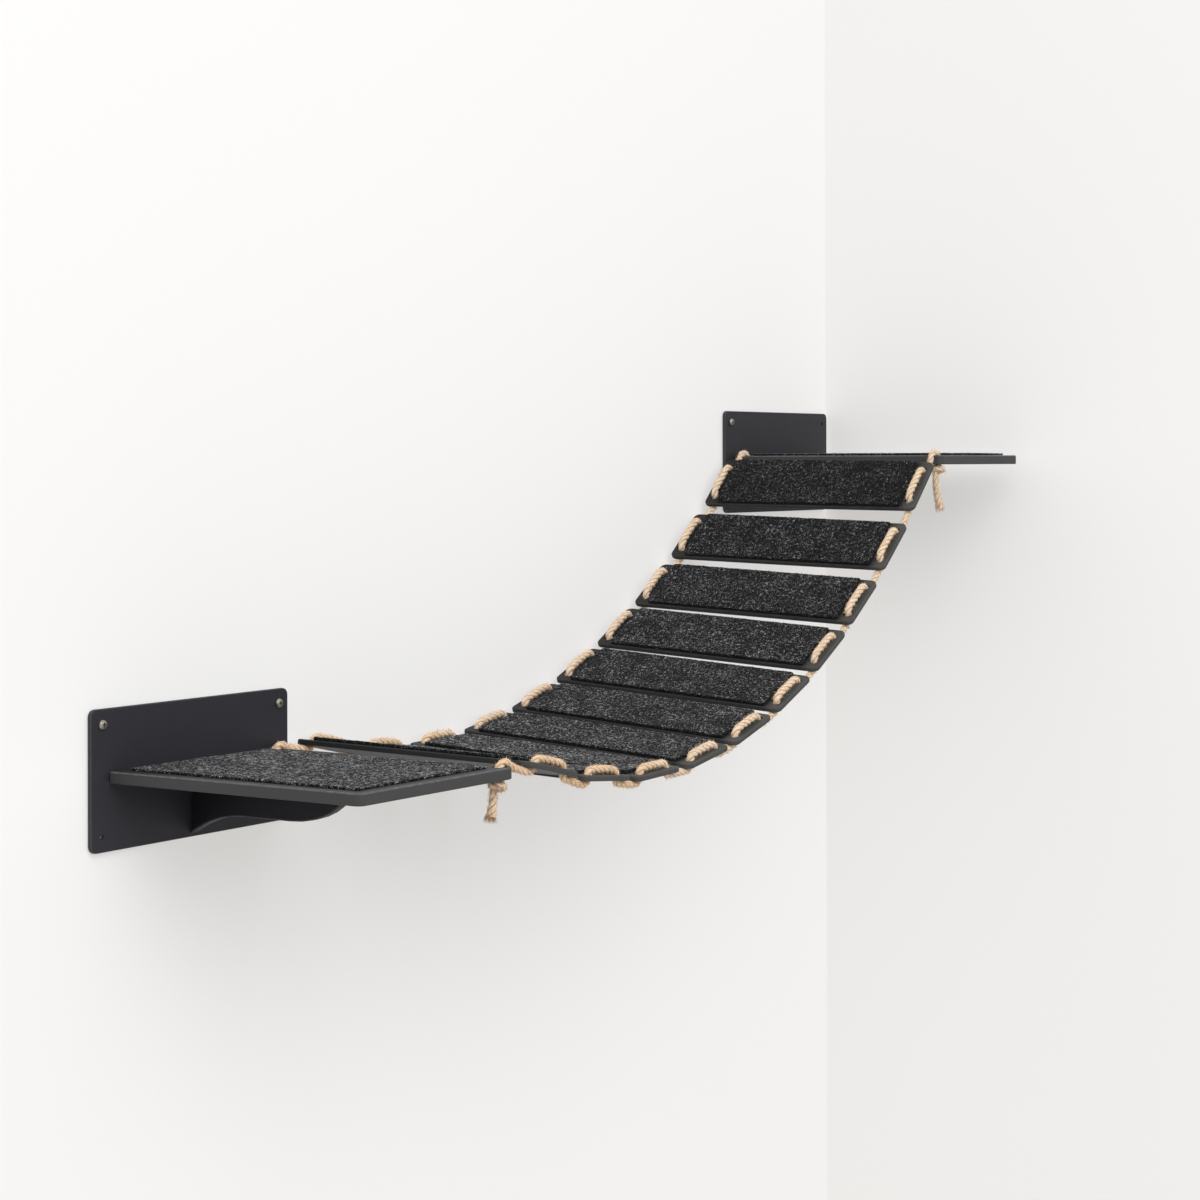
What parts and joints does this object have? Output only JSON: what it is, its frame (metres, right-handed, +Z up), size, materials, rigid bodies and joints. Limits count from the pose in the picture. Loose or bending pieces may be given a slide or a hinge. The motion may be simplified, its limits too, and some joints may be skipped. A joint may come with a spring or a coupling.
{
  "type": "cat wall bridge",
  "caption": "Wall-mounted cat walkway: two felt-topped shelves at different heights joined by a sagging bridge of felt-topped slats laced on two ropes.",
  "frame": {"origin": "centre of the lower wall plate's back face, which lies on the wall", "axes": "+Y into the wall, +Z up, +X along the wall towards the higher shelf"},
  "size_m": [1.2352, 0.261, 0.3683],
  "materials": {
    "board": "matte anthracite paint on plywood",
    "felt": "charcoal felt with pale fibres",
    "rope": "natural jute",
    "brass": "satin",
    "steel": "zinc plated"
  },
  "bodies": {
    "wall_units": {"knot_lower_front": "rope", "knot_lower_rear": "rope", "knot_upper_front": "rope", "knot_upper_rear": "rope", "lower_bracket": "board", "lower_bracket_screw_1": "steel", "lower_bracket_screw_2": "steel", "lower_shelf_board": "board", "lower_shelf_felt": "felt", "lower_shelf_screw_1": "steel", "lower_shelf_screw_2": "steel", "lower_top_screw_1": "steel", "lower_top_screw_2": "steel", "lower_wall_plate": "board", "rope_front": "rope", "rope_rear": "rope", "tail_lower_front": "rope", "tail_lower_rear": "rope", "tail_upper_front": "rope", "tail_upper_rear": "rope", "upper_bracket": "board", "upper_bracket_screw_1": "steel", "upper_bracket_screw_2": "steel", "upper_shelf_board": "board", "upper_shelf_felt": "felt", "upper_shelf_screw_1": "steel", "upper_shelf_screw_2": "steel", "upper_top_screw_1": "steel", "upper_top_screw_2": "steel", "upper_wall_plate": "board", "wall_screw_lower_left": "brass", "wall_screw_lower_right": "brass", "wall_screw_upper_left": "brass"},
    "slat_01": {"slat_01": "board", "slat_felt_01": "felt"},
    "slat_02": {"slat_02": "board", "slat_felt_02": "felt"},
    "slat_03": {"slat_03": "board", "slat_felt_03": "felt"},
    "slat_04": {"slat_04": "board", "slat_felt_04": "felt"},
    "slat_05": {"slat_05": "board", "slat_felt_05": "felt"},
    "slat_06": {"slat_06": "board", "slat_felt_06": "felt"},
    "slat_07": {"slat_07": "board", "slat_felt_07": "felt"},
    "slat_08": {"slat_08": "board", "slat_felt_08": "felt"},
    "slat_09": {"slat_09": "board", "slat_felt_09": "felt"},
    "slat_10": {"slat_10": "board", "slat_felt_10": "felt"}
  },
  "joints": [
    {"name": "slat_01_tilt", "type": "hinge", "parent": "wall_units", "child": "slat_01", "pos_m": [0.16191, -0.133, 0.0001], "axis": [0.0039, 0.9998, 0.0172], "range_deg": [-10, 10], "stiffness_Nm_per_rad": 0.3, "deforming": ["rope_front", "rope_rear"]},
    {"name": "slat_02_tilt", "type": "hinge", "parent": "wall_units", "child": "slat_02", "pos_m": [0.24264, -0.133, -0.01287], "axis": [0.0038, 0.9993, 0.0385], "range_deg": [-10, 10], "stiffness_Nm_per_rad": 0.3},
    {"name": "slat_03_tilt", "type": "hinge", "parent": "wall_units", "child": "slat_03", "pos_m": [0.32435, -0.133, -0.0157], "axis": [-0.0016, 0.9984, 0.0564], "range_deg": [-10, 10], "stiffness_Nm_per_rad": 0.3},
    {"name": "slat_04_tilt", "type": "hinge", "parent": "wall_units", "child": "slat_04", "pos_m": [0.40993, -0.133, -0.00762], "axis": [-0.0111, 0.9976, 0.0691], "range_deg": [-10, 10], "stiffness_Nm_per_rad": 0.3},
    {"name": "slat_05_tilt", "type": "hinge", "parent": "wall_units", "child": "slat_05", "pos_m": [0.48973, -0.133, 0.01021], "axis": [-0.0212, 0.997, 0.0738], "range_deg": [-10, 10], "stiffness_Nm_per_rad": 0.3},
    {"name": "slat_06_tilt", "type": "hinge", "parent": "wall_units", "child": "slat_06", "pos_m": [0.56748, -0.133, 0.03742], "axis": [-0.0295, 0.997, 0.0713], "range_deg": [-10, 10], "stiffness_Nm_per_rad": 0.3},
    {"name": "slat_07_tilt", "type": "hinge", "parent": "wall_units", "child": "slat_07", "pos_m": [0.64237, -0.133, 0.07315], "axis": [-0.0338, 0.9975, 0.0623], "range_deg": [-10, 10], "stiffness_Nm_per_rad": 0.3},
    {"name": "slat_08_tilt", "type": "hinge", "parent": "wall_units", "child": "slat_08", "pos_m": [0.71337, -0.133, 0.11611], "axis": [-0.0325, 0.9983, 0.0486], "range_deg": [-10, 10], "stiffness_Nm_per_rad": 0.3},
    {"name": "slat_09_tilt", "type": "hinge", "parent": "wall_units", "child": "slat_09", "pos_m": [0.78453, -0.133, 0.16855], "axis": [-0.0249, 0.9992, 0.0309], "range_deg": [-10, 10], "stiffness_Nm_per_rad": 0.3},
    {"name": "slat_10_tilt", "type": "hinge", "parent": "wall_units", "child": "slat_10", "pos_m": [0.85288, -0.133, 0.22835], "axis": [-0.0113, 0.9999, 0.0119], "range_deg": [-10, 10], "stiffness_Nm_per_rad": 0.3}
  ]
}
